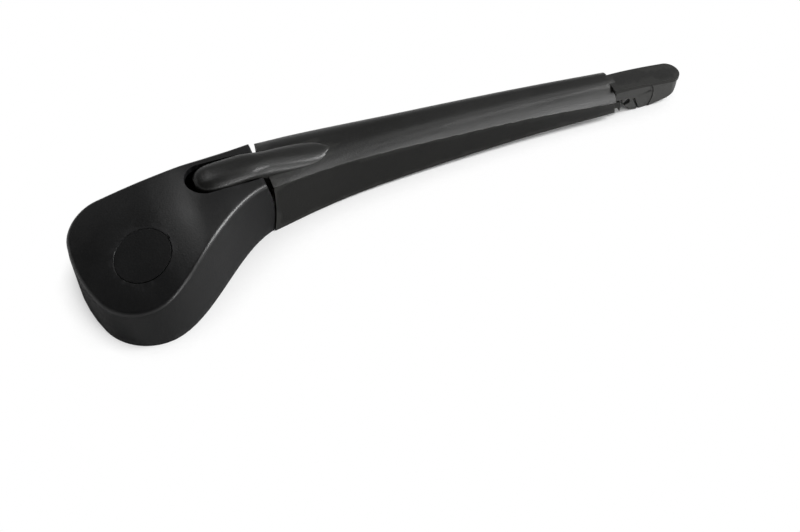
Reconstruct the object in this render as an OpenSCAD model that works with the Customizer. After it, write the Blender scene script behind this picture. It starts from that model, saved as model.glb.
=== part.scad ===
// Rear wiper arm for a car: a moulded spindle head, a long moulded arm hinged to it, and the tension
// spring that holds the arm down. X runs from the spindle to the tip, Y to the straight far side of
// the head, Z up along the spindle axis. The rim of the head stands at z = 0.

/* [Spindle head] */
// Radius of the round near lobe of the head
lobe_r = 25.5; // [24.5:0.5:26.5]
// Radius of the rear corner on the far side of the lobe
corner_r = 18; // [16:0.5:19]
// Distance of the far side of the lobe from the spindle axis
lobe_far = 40.4; // [39.4:0.2:41.6]
// How far the lobe reaches behind the spindle axis
lobe_rear = 29.6; // [28.8:0.2:30.4]
// Near side of the neck at the seam, from the spindle axis
neck_near = 16.4; // [15.6:0.2:17.4]
// Far side of the neck at the seam, from the spindle axis
neck_far = 46; // [45.2:0.2:47.2]
// Height of the head's top over the spindle axis
head_h = 29.6; // [28.6:0.2:30.6]
// Height of the head's top at its highest point, over the neck
hump_h = 34.8; // [34:0.2:36]
// Height of the head's top at the seam
neck_h = 30.8; // [30:0.2:32]
// Height of the head's top at the rear end of the lobe
rear_h = 21.6; // [20.6:0.2:23]
// Sideways fall of the lobe's top towards the near side, in degrees
top_roll = 4.2; // [2:0.2:5]
// Fall of the top from its middle line to its edges
head_crown = 2.2; // [1.4:0.1:2.6]
// Radius of the rounded top edge
head_edge_r = 1.8; // [1.4:0.1:2.4]
// Wall thickness of the head
head_wall = 3; // [2.4:0.1:3.4]

/* [Spindle seat] */
// Diameter of the flush cover over the spindle nut
cover_d = 26; // [25:0.5:27]
// Thickness of the cover disc
cover_t = 1.8; // [1.4:0.1:2]
// Outer diameter of the steel spindle insert
insert_d = 17; // [16:0.5:18]
// Length of the steel spindle insert
insert_l = 14; // [13:0.5:15]
// Diameter of the plain mouth of the insert
socket_d = 12.6; // [12.4:0.1:13]
// Depth of the plain mouth of the insert
socket_l = 3; // [2.5:0.5:4]
// Diameter of the hole for the spindle thread
thread_hole_d = 8.4; // [8.2:0.1:8.8]
// Number of serrations in the taper
serrations = 24; // [18:1:30]
// Diameter of the well that the nut spanner goes into
well_d = 21; // [20:0.5:21.5]

/* [Hinge] */
// Distance of the seam between head and arm from the spindle axis
seam_x = 63.6; // [63:0.2:65]
// Distance of the hinge pin from the spindle axis
hinge_x = 50; // [49:0.5:51]
// Height of the hinge pin
hinge_z = 25; // [24.6:0.2:25.4]
// Diameter of the hinge pin
hinge_d = 6; // [5.5:0.5:6.5]
// Diameter of the pin that the spring hook hangs on
hook_pin_d = 4; // [3.5:0.5:4.5]
// Distance of the hook pin behind the hinge pin
hook_back = 6.7; // [6.3:0.1:7.1]
// Distance of the hook pin below the hinge pin
hook_drop = 8; // [7.6:0.1:8.4]

/* [Arm] */
// Distance of the arm's end shoulder from the spindle axis
shoulder_x = 244; // [236:1:252]
// Height of the arm's top at the seam
arm_root_h = 30; // [29.5:0.1:30.4]
// Height of the arm's top at the shoulder
arm_tip_h = 18.6; // [18.2:0.2:19.4]
// Width of the arm at the seam
arm_root_w = 29.6; // [28.8:0.2:30.4]
// Width of the arm at the shoulder
arm_tip_w = 19.4; // [18.6:0.2:20]
// Wall thickness of the arm
arm_wall = 2.6; // [2.2:0.1:2.8]
// Height of the arm's lower edge at the shoulder
arm_lift = 4.2; // [3.4:0.2:4.8]
// Spacing of the cross ribs under the arm
rib_pitch = 18; // [14:1:24]

/* [Finger] */
// Width of the finger that lies in the head's slot
finger_w = 16; // [15.2:0.2:16.4]
// Length of the finger behind the seam
finger_rear = 32; // [31:0.5:33]
// Length of the finger in front of the seam
finger_front = 33; // [30:1:36]
// Height of the finger's top at its rear end
finger_h = 37.2; // [36.8:0.1:37.8]
// Gap between the finger and the sides of the slot
slot_gap = 0.6; // [0.5:0.1:0.8]
// Gap behind the finger
slot_rear_gap = 4.2; // [3.6:0.2:5]

/* [Blade end] */
// Length of the nose past the shoulder
nose_l = 38; // [36:0.5:40]
// Width of the nose
nose_w = 12; // [11.6:0.2:12.6]
// Height of the nose's top at the shoulder
nose_h = 18.2; // [17.6:0.2:18.4]
// Fall of the nose's top towards its tip
nose_fall = 4; // [3:0.5:5]
// Thickness of the nose's top plate
nose_t = 2; // [1.6:0.1:2.4]
// Wall thickness of the blade holder
holder_wall = 2; // [1.8:0.1:2.4]
// Diameter of the blade pivot that snaps into the holder
pivot_d = 3.4; // [3:0.1:3.8]

/* [Spring] */
// Distance of the spring's anchor pin from the hinge pin
anchor_x = 82; // [78:1:86]
// Height of the anchor pin
anchor_z = 9.5; // [9:0.5:10.5]
// Diameter of the anchor pin
anchor_d = 4; // [3.5:0.5:4.5]
// Outer diameter of the spring
spring_d = 8.4; // [7.6:0.2:9]
// Diameter of the spring's wire
wire_d = 1.5; // [1.2:0.1:1.6]
// Thickness of the stamped spring hook
hook_t = 3; // [2.6:0.2:3.2]
// Width of the stamped spring hook
hook_w = 4; // [3.6:0.2:4.4]

/* [Hidden] */
$fn = 48;

plastic = [0.09, 0.09, 0.1];
steel = [0.62, 0.63, 0.65];
zinc = [0.75, 0.74, 0.7];

running_fit = 0.05;
part_gap = 0.3;
draft = tan(2.5);
over = 1;

// Centre line of the arm's tongue, the hook and the spring
tongue_y = 30.3;
ear_t = 2.8;
ear_inner = 2.4;
cheek_t = 3.4;
cheek_gap = 0.4;
boss_r = hinge_d / 2 + 3.4;
tongue_half = ear_inner + ear_t;

// Smooth curves through a few chosen points
function mix(a, b, t) = a + (b - a) * t;
function limit(t) = min(1, max(0, t));
function ease(t) = let(s = limit(t)) s * s * (3 - 2 * s);
function span_at(p, x, j = 0) = j >= len(p) - 2 || x < p[j + 1][0] ? j : span_at(p, x, j + 1);
function rise(p, j) =
    let(
        a = max(0, j - 1),
        b = min(len(p) - 1, j + 1)
    )
    (p[b][1] - p[a][1]) / (p[b][0] - p[a][0]);
function curve_at(p, x) =
    let(
        j = span_at(p, x),
        d = p[j + 1][0] - p[j][0],
        t = (x - p[j][0]) / d,
        s = t * t
    )
    (2 * s * t - 3 * s + 1) * p[j][1] + (s * t - 2 * s + t) * d * rise(p, j)
    + (3 * s - 2 * s * t) * p[j + 1][1] + (s * t - s) * d * rise(p, j + 1);

// Plan of the head: an S-shaped near side, a lobe of two arcs, and a slightly bowed far side
lobe_near = 27.1;
lobe_c = [-0.6, lobe_r - lobe_near];
corner_c = [corner_r - lobe_rear, lobe_far - corner_r];
front_x = seam_x + 8;
near_run = 4.5;
near_n = 20;
arc_n = 14;
far_bow = 2.2;
side_turn = 14;
function near_y(x) = mix(-lobe_near, neck_near, ease((x - lobe_c[0]) / (seam_x + near_run - lobe_c[0])))
    + max(0, x - seam_x) * 0.2;
function far_y(x) = lobe_far + (neck_far - lobe_far) * limit((x - lobe_c[0]) / (seam_x - lobe_c[0]))
    - far_bow * sin(180 * limit((x - lobe_c[0]) / (seam_x - lobe_c[0])))
    + max(0, x - seam_x) * 0.05;
chord = corner_c - lobe_c;
tangent_a = atan2(chord[1], chord[0]) + acos((lobe_r - corner_r) / norm(chord));
function x_row(i) = mix(front_x, lobe_c[0], i / near_n);
function y_slope(f, x) = f == 0 ? near_y(x + 0.01) - near_y(x - 0.01) : far_y(x + 0.01) - far_y(x - 0.01);
function unit(v) = v / norm(v);
function toward(a) = [cos(a), sin(a)];
function heading(a) = [sin(a), -cos(a)];
side_from = lobe_c + lobe_r * toward(tangent_a + side_turn);
side_to = corner_c + corner_r * toward(tangent_a - side_turn);
function side_at(t) =
    let(
        pull = norm(side_to - side_from),
        s = t * t
    )
    (2 * s * t - 3 * s + 1) * side_from + (s * t - 2 * s + t) * pull * heading(tangent_a + side_turn)
    + (3 * s - 2 * s * t) * side_to + (s * t - s) * pull * heading(tangent_a - side_turn);

// Each row is a point of the base outline with the direction that leads into the head
near_rows = [for (i = [0:near_n - 1]) let(x = x_row(i))
    [[x, near_y(x)], i == 0 ? [0, 1] : unit([-y_slope(0, x), 0.02])]];
lobe_rows = [for (i = [0:arc_n]) let(n = toward(mix(270, tangent_a + side_turn, i / arc_n))) [lobe_c + lobe_r * n, -n]];
side_rows = [for (t = [0.2:0.2:0.8]) let(d = unit(side_at(t + 0.01) - side_at(t - 0.01)))
    [side_at(t), [d[1], -d[0]]]];
corner_rows = [for (i = [0:arc_n]) let(n = toward(mix(tangent_a - side_turn, 90, i / arc_n)))
    [corner_c + corner_r * n, -n]];
far_rows = [for (i = [near_n:-1:0]) let(x = x_row(i))
    [[x, far_y(x)], i == 0 ? [0, -1] : unit([y_slope(1, x), -0.02])]];
head_rows = concat(near_rows, lobe_rows, side_rows, corner_rows, far_rows);
row_n = len(head_rows);

// Top of the head as a height over the plan
head_line = [[-lobe_rear - 6, rear_h - 1.5], [-lobe_rear, rear_h], [-15, mix(rear_h, head_h, 0.53)], [0, head_h],
    [13, mix(head_h, hump_h, 0.62)], [27, hump_h], [40, mix(neck_h, hump_h, 0.8)], [52, mix(neck_h, hump_h, 0.42)],
    [seam_x, neck_h], [front_x + 2, neck_h - 2.2]];
function middle_y(x) = mix(lobe_far / 2 - 13, (neck_near + neck_far) / 2, ease(x / seam_x));
function head_top(x, y) = curve_at(head_line, x) + tan(top_roll) * y * (1 - ease(x / seam_x))
    - head_crown * pow((y - middle_y(x)) / 35, 2);

// Profile of a wall from its foot, up over the rounded edge, and across the top to the spine
edge_n = 5;
top_n = 5;
col_n = edge_n + top_n + 1;
function spine_row(i) = i < near_n ? i : i >= row_n - 1 - near_n ? row_n - 1 - i : near_n;
function spine_point(s) = let(x = x_row(s)) s == near_n ? [x, middle_y(0)] : [x, mix(near_y(x), far_y(x), 0.5)];
draft_line = [[-lobe_rear, 0.2], [-5, 0.6], [20, 2.4], [38, 2.3], [seam_x, 1.2]];
function head_draft(x) = tan(curve_at(draft_line, min(x, seam_x)));
function head_col(i, k, inset, lower) =
    let(
        p = head_rows[i][0],
        n = head_rows[i][1],
        r = max(0.8, head_edge_r - inset),
        h = head_top(p[0], p[1]) - lower,
        a = 90 * (k - 1) / edge_n,
        d = inset + (k == 0 ? 0 : head_draft(p[0]) * (h - r) + r * (1 - cos(a))),
        e = inset + head_draft(p[0]) * (h - r) + r,
        q = k <= edge_n + 1 ? p + n * d : mix(p + n * e, spine_point(spine_row(i)), (k - edge_n - 1) / top_n)
    )
    k == 0 ? [q[0], q[1], 0] :
    k <= edge_n + 1 ? [q[0], q[1], head_top(q[0], q[1]) - lower - r * (1 - sin(a))] :
    [q[0], q[1], head_top(q[0], q[1]) - lower];
function head_skin(inset, lower) = concat(
    [for (i = [0:row_n - 1], k = [0:col_n - 1]) head_col(i, k, inset, lower)],
    [for (s = [0:near_n]) let(p = spine_point(s)) [p[0], p[1], head_top(p[0], p[1]) - lower]]);
skin_size = row_n * col_n + near_n + 1;
function skin_at(i, k) = k < col_n ? i * col_n + k : row_n * col_n + spine_row(i);
function tri_pair(a, b, c, d) = concat(a == b ? [] : [[a, b, c]], c == d ? [] : [[a, c, d]]);
function flipped(f) = [for (t = f) [t[2], t[1], t[0]]];
function moved(f, n) = [for (t = f) [t[0] + n, t[1] + n, t[2] + n]];
skin_faces = [for (i = [0:row_n - 2], k = [0:col_n - 1], t = k < col_n - 1 ?
    [[skin_at(i, k), skin_at(i, k + 1), skin_at(i + 1, k + 1)],
        [skin_at(i, k), skin_at(i + 1, k + 1), skin_at(i + 1, k)]] :
    concat([[skin_at(i, k), skin_at(i, k + 1), skin_at(i + 1, k)]],
        spine_row(i) == spine_row(i + 1) ? [] : [[skin_at(i, k + 1), skin_at(i + 1, k + 1), skin_at(i + 1, k)]])) t];
rim_faces = [for (i = [0:row_n - 2], t = let(a = skin_at(i, 0), b = skin_at(i + 1, 0), m = skin_size)
    [[a, b, b + m], [a, b + m, a + m]]) t];
front_faces = [for (k = [0:col_n - 1], t = let(a = skin_at(0, k), b = skin_at(0, k + 1), c = skin_at(row_n - 1, k),
    d = skin_at(row_n - 1, k + 1), m = skin_size)
    [[a, b + m, b], [a, a + m, b + m], [c, d, d + m], [c, d + m, c + m]]) t];

module head_shell() {
    polyhedron(concat(head_skin(0, 0), head_skin(head_wall, head_wall)),
        flipped(concat(skin_faces, moved(flipped(skin_faces), skin_size), rim_faces, front_faces)), convexity = 6);
}

// Seam: the head ends in a round face and the arm in a flatter one, so the gap between them is
// widest at the top and closes towards the rim
seam_low = seam_x - 1.2;
seam_mid_z = 14;
head_seam_r = 60;
arm_seam_r = 95;
arm_seam_z = 21;
function seam_start(r, z, low) = low - sqrt(r * r - z * z);
head_seam_c = seam_start(head_seam_r, seam_mid_z, seam_low);
arm_seam_c = seam_start(arm_seam_r, arm_seam_z, seam_low + part_gap);
module beyond_seam(c, r, z) {
    difference() {
        translate([hinge_x, -60, -over]) cube([60, 160, 60]);
        translate([c, -70, z]) rotate([-90, 0, 0]) cylinder(r = r, h = 180, $fn = 200);
    }
}

// Slot in the head's top for the finger
finger_y = tongue_y - 1.4;
slot_half = finger_w / 2 + slot_gap;
slot_r = slot_half + 0.4;
slot_c = [seam_x - finger_rear - slot_rear_gap + slot_r, finger_y - 1.4];
slot_near = [[44, -0.9], [58, 0.6], [front_x + over, 4]];
slot_far = [[front_x + over, 1.4], [hinge_x, 0.4]];
module finger_slot() {
    translate([0, 0, hinge_z - 4]) linear_extrude(30) {
        translate(slot_c) circle(r = slot_r);
        polygon(concat([slot_c - [0, slot_r]], [for (p = slot_near) [p[0], finger_y - slot_half + p[1]]],
            [for (p = slot_far) [p[0], finger_y + slot_half + p[1]]], [slot_c + [0, slot_r]]));
    }
}

// Plates that hang from the head's top and carry both pins, cut back behind the hinge pin where the
// finger dips into the head
lift_max = 65;
plate_keep = 6.8;
plate_edge = [for (a = [90:13:90 + lift_max]) [hinge_x + plate_keep * cos(a), hinge_z + plate_keep * sin(a)]];
plate_rear = plate_edge[len(plate_edge) - 1] - 13 * [sin(90 - lift_max), cos(90 - lift_max)];
module hinge_plate(y) {
    top = [for (x = [seam_x + 2:-4:hinge_x + 1])
        [x, min(head_top(x, y + cheek_t / 2) - head_wall * 0.6, hinge_z + plate_keep)]];
    translate([0, y + cheek_t, 0]) rotate([90, 0, 0]) linear_extrude(cheek_t)
        polygon(concat(top, plate_edge, [plate_rear, [hinge_x - 9, 11], [seam_x - 3, 11]]));
}
module plate_web(from, to) {
    translate([hinge_x + 5, from, 8]) cube([2, to - from, head_top(hinge_x + 6, (from + to) / 2) - 8 - head_wall / 2]);
}

// Web between the spindle boss and the walls
module head_web(a, l) {
    rotate(a) translate([insert_d / 2 + 2, -1, 3]) cube([l, 2, 11]);
}

cover_gap = 0.15;
well_out = well_d / 2 + 2;
tilt_x = atan2(head_top(8, 0) - head_top(-8, 0), 16);
tilt_y = atan2(head_top(0, 8) - head_top(0, -8), 16);
module on_top() {
    translate([0, 0, head_top(0, 0)]) rotate([tilt_y, -tilt_x, 0]) children();
}
module head_core() {
    intersection() {
        translate([0, 0, 2]) cylinder(r = well_out, h = head_h + 10);
        on_top() translate([-40, -40, -60]) cube([80, 80, 60 - head_wall * 0.6]);
    }
}

module head_housing() {
    color(plastic) difference() {
        union() {
            difference() {
                head_shell();
                beyond_seam(head_seam_c, head_seam_r, seam_mid_z);
                finger_slot();
            }
            difference() {
                union() {
                    hinge_plate(tongue_y - tongue_half - cheek_gap - cheek_t);
                    hinge_plate(tongue_y + tongue_half + cheek_gap);
                    plate_web(near_y(hinge_x + 6) + head_wall, tongue_y - tongue_half - cheek_gap - 1);
                    plate_web(tongue_y + tongue_half + cheek_gap + 1, far_y(hinge_x + 6) - head_wall);
                }
                beyond_seam(head_seam_c, head_seam_r, seam_mid_z);
            }
            head_core();
            for (w = [[15, 18], [75, 28], [135, 16], [205, 12], [270, 11], [325, 14]]) head_web(w[0], w[1]);
        }
        translate([0, 0, -over]) cylinder(r = insert_d / 2 + 0.02, h = insert_l + over + insert_foot);
        translate([0, 0, insert_l + insert_foot]) cylinder(r = well_d / 2, h = head_h);
        on_top() translate([0, 0, -cover_t]) cylinder(r = cover_d / 2 + cover_gap, h = 10);
        pin_hole(hinge_x, hinge_z, hinge_d);
        pin_hole(hinge_x - hook_back, hinge_z - hook_drop, hook_pin_d);
    }
}
module pin_hole(x, z, d) {
    translate([x, tongue_y - pin_reach, z]) rotate([-90, 0, 0])
        cylinder(r = d / 2 + running_fit, h = 2 * pin_reach + part_gap);
}

// Steel insert: plain mouth, serrated taper, thread hole, and a flat seat for the nut
insert_foot = 0.5;
taper_top_d = socket_d - 3;
module spindle_insert() {
    taper_l = insert_l - socket_l - 3.5;
    color(zinc) translate([0, 0, insert_foot]) difference() {
        cylinder(r = insert_d / 2, h = insert_l);
        translate([0, 0, -over]) cylinder(r = socket_d / 2, h = socket_l + over);
        translate([0, 0, socket_l - 0.01]) cylinder(r1 = socket_d / 2 - 0.6, r2 = taper_top_d / 2 - 0.6, h = taper_l);
        for (i = [0:serrations - 1]) rotate(i * 360 / serrations)
            translate([socket_d / 2 - 0.6, 0, socket_l - over]) rotate([0, -atan(1.5 / taper_l), 0])
                rotate(45) translate([-0.4, -0.4, 0]) cube([0.8, 0.8, taper_l + 0.8]);
        cylinder(r = thread_hole_d / 2, h = insert_l + over);
    }
}

module nut_cover() {
    skirt_r = well_d / 2 - 1.4;
    color(plastic) on_top() translate([0, 0, -cover_t]) {
        cylinder(r = cover_d / 2, h = cover_t - 0.05);
        difference() {
            translate([0, 0, -4]) cylinder(r = skirt_r, h = 4.5);
            translate([0, 0, -5]) cylinder(r = skirt_r - 1.3, h = 5);
            for (a = [0:90:270]) rotate(a) translate([0, -1, -5]) cube([well_d, 2, 5]);
        }
    }
}

// Pins
pin_reach = tongue_half + cheek_gap + cheek_t;
module hinge_pin() {
    l = 2 * pin_reach + 2.6;
    color(steel) translate([hinge_x, tongue_y - pin_reach - 2.4, hinge_z]) rotate([-90, 0, 0]) difference() {
        cylinder(r = hinge_d / 2, h = l);
        translate([0, 0, 1]) difference() {
            cylinder(r = hinge_d, h = 0.9);
            translate([0, 0, -over]) cylinder(r = hinge_d / 2 - 0.6, h = 3);
        }
    }
}
module hinge_clip() {
    color(steel) translate([hinge_x, tongue_y - pin_reach - 1.4 + 0.05, hinge_z]) rotate([-90, 0, 0]) difference() {
        cylinder(r = hinge_d / 2 + 1.8, h = 0.8);
        translate([0, 0, -over]) cylinder(r = hinge_d / 2 - 0.55, h = 3);
        translate([-1.6, -hinge_d, -over]) cube([3.2, hinge_d, 3]);
    }
}
module hook_pin() {
    color(steel) translate([hinge_x - hook_back, tongue_y - pin_reach, hinge_z - hook_drop]) rotate([-90, 0, 0])
        cylinder(r = hook_pin_d / 2, h = 2 * pin_reach);
}
module spring_anchor() {
    color(steel) translate([hinge_x + anchor_x, anchor_y - rail_in - rail_t, anchor_z]) rotate([-90, 0, 0])
        cylinder(r = anchor_d / 2, h = 2 * (rail_in + rail_t));
}

anchor_y = tongue_y + 2.6;
rail_in = 4.9;
rail_t = 2;

// Stamped hook that runs from the hook pin, under the hinge pin, to the spring
hook_pin_p = [hinge_x - hook_back, hinge_z - hook_drop];
anchor_p = [hinge_x + anchor_x, anchor_z];
hook_end_p = mix(hook_pin_p, anchor_p, 0.36);
dip_z = hinge_z - 17.2;
module bar(a, b, w) {
    d = b - a;
    translate(a) rotate(atan2(d[1], d[0])) translate([0, -w / 2]) square([norm(d), w]);
    translate(a) circle(r = w / 2);
    translate(b) circle(r = w / 2);
}
module spring_hook() {
    low_a = [hook_pin_p[0] - 0.5, dip_z + 1.5];
    low_b = [hook_pin_p[0] + 2.5, dip_z];
    low_c = [hinge_x + 12, dip_z + 0.6];
    color(steel) translate([0, tongue_y + hook_t / 2, 0]) rotate([90, 0, 0]) linear_extrude(hook_t) difference() {
        union() {
            bar(hook_pin_p, low_a, hook_w);
            bar(low_a, low_b, hook_w);
            bar(low_b, low_c, hook_w);
            bar(low_c, hook_end_p, hook_w);
            translate(hook_pin_p) circle(r = hook_pin_d / 2 + 2.1);
            translate(hook_end_p) circle(r = hook_w / 2 + 1);
        }
        translate(hook_pin_p) circle(r = hook_pin_d / 2 + running_fit);
        translate(hook_end_p) circle(r = wire_d / 2 + 0.4);
    }
}

// Close-wound tension spring as one coil between two wire ends
spring_a = atan2(anchor_p[1] - hook_end_p[1], anchor_p[0] - hook_end_p[0]);
spring_turn = atan2(anchor_y - tongue_y, anchor_p[0] - hook_end_p[0]);
spring_l = norm([anchor_p[0] - hook_end_p[0], anchor_y - tongue_y, anchor_p[1] - hook_end_p[1]]);
module tension_spring() {
    eye = 5;
    coil_l = spring_l - 2 * eye;
    loop_y = hook_t / 2 + wire_d / 2 + 0.25;
    eye_r = anchor_d / 2 + wire_d / 2 + running_fit;
    color(steel) translate([hook_end_p[0], tongue_y, hook_end_p[1]])
        rotate([0, -spring_a, spring_turn]) {
        translate([eye, 0, 0]) rotate([0, 90, 0]) difference() {
            cylinder(r = spring_d / 2, h = coil_l);
            translate([0, 0, -over]) cylinder(r = spring_d / 2 - wire_d, h = coil_l + 2 * over);
        }
        translate([spring_l - eye - wire_d / 2, 0, 0]) rotate([90, 0, 0])
            cylinder(r = wire_d / 2, h = spring_d - wire_d, center = true);
        rotate([90, 0, 0]) cylinder(r = wire_d / 2, h = 2 * loop_y, center = true);
        for (y = [-loop_y, loop_y]) translate([0, y, 0]) {
            sphere(r = wire_d / 2);
            rotate([0, 90, 0]) cylinder(r = wire_d / 2, h = eye + wire_d);
        }
        translate([spring_l, 0, 0]) rotate([90, 0, 0]) rotate_extrude() translate([eye_r, 0])
            circle(r = wire_d / 2, $fn = 16);
        translate([spring_l - eye - wire_d / 2, 0, 0]) rotate([0, 90, 0])
            cylinder(r = wire_d / 2, h = eye + wire_d / 2 - eye_r);
    }
}

// Arm: an arched section that changes along X
near_line = [[seam_x - 8, neck_near - 1.4], [seam_x + 2, neck_near + 0.1], [seam_x + 23, neck_near + 3.6],
    [110, neck_near + 6], [148, neck_near + 7], [198, neck_near + 6.4], [shoulder_x, neck_near + 3.8]];
width_line = [[seam_x - 8, arm_root_w + 1], [seam_x, arm_root_w], [110, mix(arm_tip_w, arm_root_w, 0.46)],
    [168, mix(arm_tip_w, arm_root_w, 0.2)], [shoulder_x, arm_tip_w]];
top_line = [[seam_x - 8, arm_root_h + 0.6], [seam_x, arm_root_h], [108, mix(arm_tip_h, arm_root_h, 0.7)],
    [158, mix(arm_tip_h, arm_root_h, 0.4)], [203, mix(arm_tip_h, arm_root_h, 0.16)], [shoulder_x, arm_tip_h]];
band_line = [[seam_x - 8, 1.8], [seam_x, 2], [108, 3.4], [158, 5], [203, 6], [shoulder_x, 8]];
function foot_z(x) = arm_lift * max(0, x - seam_x) / (shoulder_x - seam_x);
arch_n = 16;
section_n = arch_n + 4;
function along(x) = limit((x - seam_x) / (shoulder_x - seam_x));
function arch_power(x, u) = u > 0 ? 4.4 : mix(3.4, 2.5, along(x));
function ledge_drop(x) = mix(0.4, 1.2, along(x));
function power(v, p) = sign(v) * pow(abs(v), p);
function section_point(x, k, inset) =
    let(
        yn = curve_at(near_line, x),
        w = curve_at(width_line, x),
        top = curve_at(top_line, x) - inset,
        ridge = curve_at(top_line, x) - curve_at(band_line, x) - inset * 0.6,
        c = yn + w / 2,
        half = w / 2 - inset,
        foot = foot_z(x),
        flare = inset > 0 ? 0 : draft * (ridge - foot),
        ledge = inset > 0 ? 0 : mix(0.2, 1, along(x)),
        drop = ledge_drop(x),
        u = -cos(180 * (k - 2) / arch_n)
    )
    k == 0 ? [x, c - half - flare, foot] :
    k == 1 ? [x, c - half + ledge, ridge - drop] :
    k == section_n - 1 ? [x, c + half - ledge, ridge - drop] :
    k == section_n ? [x, c + half + flare, foot] :
    [x, c + half * u, ridge + (top - ridge) * (1 - pow(abs(u), arch_power(x, u)))];
arm_rows = concat([seam_x - 6, seam_x - 1, seam_x + 4, seam_x + 10, seam_x + 18, seam_x + 28],
    [for (i = [0:14]) mix(seam_x + 36, shoulder_x - 8, i / 14)], [shoulder_x - 2.4, shoulder_x]);
arm_n = len(arm_rows);
wide = section_n + 1;
function arm_inside(i) = i == arm_n - 2 ? shoulder_x - arm_wall - 2 :
    i == arm_n - 1 ? shoulder_x - arm_wall : arm_rows[i];
arm_points = concat(
    [for (i = [0:arm_n - 1], k = [0:section_n]) section_point(arm_rows[i], k, 0)],
    [for (i = [0:arm_n - 1], k = [0:section_n]) section_point(arm_inside(i), k, arm_wall)]);
arm_size = arm_n * wide;
function at(i, k) = i * wide + k;
arm_skin = [for (i = [0:arm_n - 2], k = [0:section_n - 1], t = [[at(i, k), at(i + 1, k), at(i + 1, k + 1)],
    [at(i, k), at(i + 1, k + 1), at(i, k + 1)]]) t];
arm_rims = [for (i = [0:arm_n - 2], t = let(a = at(i, 0), b = at(i + 1, 0), c = at(i, section_n),
    d = at(i + 1, section_n), m = arm_size)
    [[a, b + m, b], [a, a + m, b + m], [c, d, d + m], [c, d + m, c + m]]) t];
root_cap = [for (k = [0:section_n - 1], t = let(a = at(0, k), b = at(0, k + 1), m = arm_size)
    [[a, b, b + m], [a, b + m, a + m]]) t];
function tip_faces(m, flip) =
    let(
        e = arm_n - 1,
        f = [for (k = [0:section_n / 2 - 1], t = let(a = at(e, k) + m, b = at(e, k + 1) + m,
            c = at(e, section_n - k - 1) + m, d = at(e, section_n - k) + m)
            k == section_n / 2 - 1 ? [[a, d, b]] : [[a, d, c], [a, c, b]]) t]
    )
    flip ? flipped(f) : f;
tip_sill = let(a = at(arm_n - 1, 0), b = at(arm_n - 1, section_n), m = arm_size) [[a, a + m, b + m], [a, b + m, b]];
module arm_skin_body() {
    polyhedron(arm_points, flipped(concat(arm_skin, moved(flipped(arm_skin), arm_size), arm_rims, root_cap,
        tip_faces(0, false), tip_faces(arm_size, true), tip_sill)), convexity = 6);
}

// Finger: a rounded spine on the arm that reaches back into the head's slot
finger_x = [[seam_x - finger_rear, 0.42], [seam_x - finger_rear + 1, 0.63], [seam_x - finger_rear + 3, 0.85],
    [seam_x - finger_rear + 6, 0.97], [seam_x - finger_rear + 10, 1], [seam_x - 8, 0.96], [seam_x, 0.9],
    [seam_x + finger_front * 0.4, 0.95], [seam_x + finger_front * 0.7, 0.88], [seam_x + finger_front * 0.88, 0.66],
    [seam_x + finger_front, 0.2]];
finger_top = [[seam_x - finger_rear, finger_h - 2.4], [seam_x - finger_rear + 2, finger_h - 1],
    [seam_x - finger_rear + 8, finger_h], [seam_x - 12, finger_h - 0.6], [seam_x, finger_h - 2.4],
    [seam_x + finger_front * 0.5, arm_root_h + 1.4], [seam_x + finger_front, mix(arm_tip_h, arm_root_h, 0.78)]];
finger_mid = [[seam_x - finger_rear, finger_y - 1.3], [44, finger_y - 0.9], [seam_x, finger_y + 0.7],
    [seam_x + finger_front, finger_y + 2.6]];
finger_foot = hinge_z + 7.3;
finger_n = 14;
function finger_base(x) = x < seam_x - 6 ? finger_foot :
    mix(finger_foot, curve_at(top_line, x) - arm_wall * 0.8, limit((x - seam_x + 6) / 8));
finger_rows = concat([for (d = [0, 0.4, 1, 2, 3.2, 4.8, 6.8]) seam_x - finger_rear + d],
    [for (i = [1:12]) mix(seam_x - finger_rear + 6.8, seam_x + finger_front * 0.8, i / 12)],
    [seam_x + finger_front * 0.9, seam_x + finger_front]);
function finger_point(x, k) =
    let(
        w = finger_w / 2 * curve_at(finger_x, x),
        a = 180 - 180 * k / finger_n,
        b = finger_base(x),
        t = curve_at(finger_top, x)
    )
    [x, curve_at(finger_mid, x) + w * power(cos(a), 0.75), b + (t - b) * power(max(0, sin(a)), 0.8)];
module finger() {
    n = len(finger_rows);
    m = finger_n + 1;
    points = [for (x = finger_rows, k = [0:finger_n]) finger_point(x, k)];
    sides = [for (i = [0:n - 2], k = [0:finger_n], t = let(a = i * m + k, b = i * m + (k + 1) % m)
        [[a, b, b + m], [a, b + m, a + m]]) t];
    tip = (n - 1) * m;
    ends = [for (k = [1:finger_n - 1], t = [[0, k + 1, k], [tip, tip + k, tip + k + 1]]) t];
    polyhedron(points, concat(sides, ends), convexity = 4);
}

// Ears under the finger that turn on the hinge pin, and rails that carry the anchor pin
function under_skin(x) = curve_at(top_line, x) - arm_wall * 0.85;
module side_plate(y, t, shape) {
    translate([0, y + t, 0]) rotate([90, 0, 0]) linear_extrude(t) polygon(shape);
}
ear_back = hinge_x - boss_r + 1;
ear_shape = [[ear_back, hinge_z], [ear_back, finger_foot + 0.6], [seam_x - 6, finger_foot + 0.6],
    [seam_x + 4, under_skin(seam_x + 4)], [seam_x + 20, under_skin(seam_x + 20)],
    [seam_x + 20, under_skin(seam_x + 20) - 5], [seam_x + 4, hinge_z - boss_r - 1.5], [hinge_x, hinge_z - boss_r + 0.6]];
module ear(y) {
    side_plate(y, ear_t, ear_shape);
    translate([hinge_x, y, hinge_z]) rotate([-90, 0, 0]) cylinder(r = boss_r, h = ear_t);
}
rail_from = hinge_x + anchor_x - 14;
rail_to = hinge_x + anchor_x + 14;
rail_shape = concat([for (i = [0:5]) let(x = mix(rail_from, rail_to, i / 5)) [x, under_skin(x)]],
    [[rail_to - 6, anchor_z - 3], [rail_from + 6, anchor_z - 3]]);

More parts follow.
